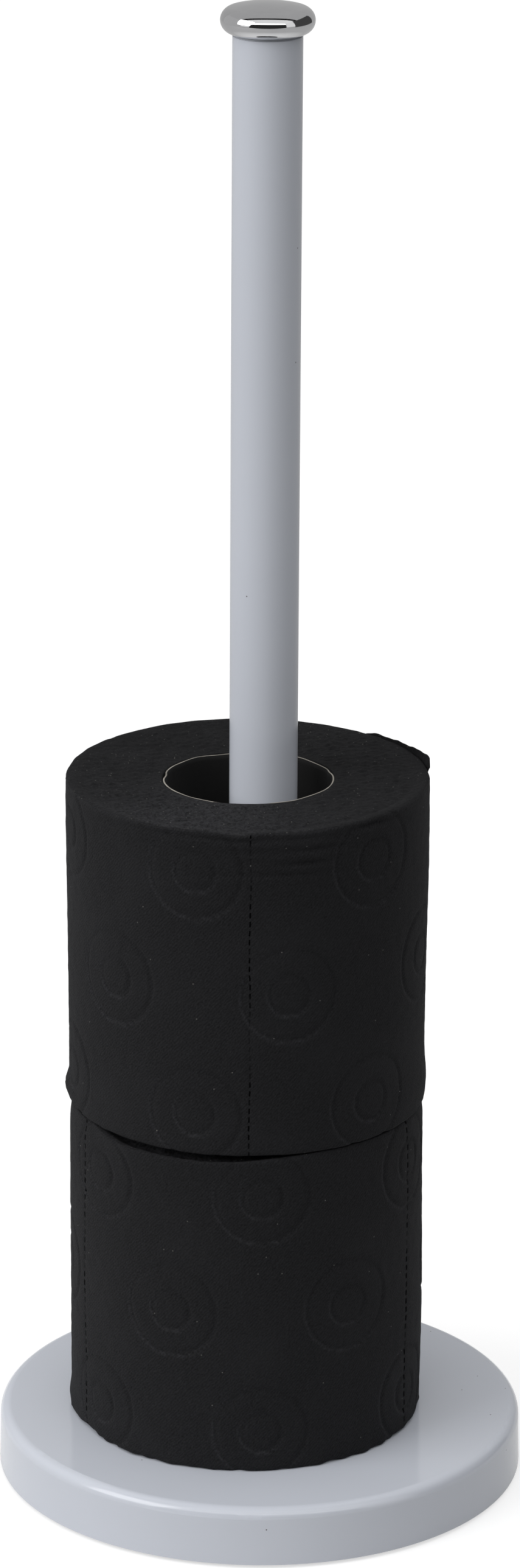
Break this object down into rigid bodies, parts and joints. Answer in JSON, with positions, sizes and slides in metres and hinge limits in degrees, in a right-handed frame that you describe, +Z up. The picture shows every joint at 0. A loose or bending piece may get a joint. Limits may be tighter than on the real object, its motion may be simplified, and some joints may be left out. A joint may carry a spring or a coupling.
{
  "type": "toilet roll storage holder",
  "caption": "Free-standing pole on a weighted round base with a chromed cap that stores stacked toilet rolls, each lifting off over the top.",
  "frame": {"origin": "middle of the base on the floor", "axes": "+Z up along the pole; -Y towards the viewer of the picture, +X to the viewer's right"},
  "size_m": [0.15, 0.15, 0.424],
  "materials": {
    "base_paint": "gloss pale grey enamel",
    "pole_paint": "satin pale grey enamel",
    "cap_chrome": "polished",
    "zinc_steel": "zinc plated",
    "ballast_iron": "as cast, painted black",
    "cover_plastic": "moulded, fine grain",
    "foot_rubber": "matt",
    "bush_plastic": "moulded",
    "black_paper": "soft creped tissue, dyed through",
    "core_card": "plain card"
  },
  "bodies": {
    "stand": {"foot_ring": "foot_rubber", "bottom_cover": "cover_plastic", "cover_screws": "zinc_steel", "ballast_disc": "ballast_iron", "base_shell": "base_paint", "pole_bolt": "zinc_steel", "flat_washer": "zinc_steel", "spring_washer": "zinc_steel", "pole_insert": "zinc_steel", "pole_tube": "pole_paint", "cap_bush": "bush_plastic", "cap_stud": "zinc_steel", "cap_knob": "cap_chrome"},
    "lower_roll": {"lower_roll_core": "core_card", "lower_roll_paper": "black_paper"},
    "upper_roll": {"upper_roll_core": "core_card", "upper_roll_paper": "black_paper"}
  },
  "joints": [
    {"name": "lower_roll_lift", "type": "slide", "parent": "stand", "child": "lower_roll", "axis": [0, 0, 1], "range_m": [0, 0.42]},
    {"name": "upper_roll_lift", "type": "slide", "parent": "lower_roll", "child": "upper_roll", "axis": [0, 0, 1], "range_m": [0, 0.33]}
  ]
}
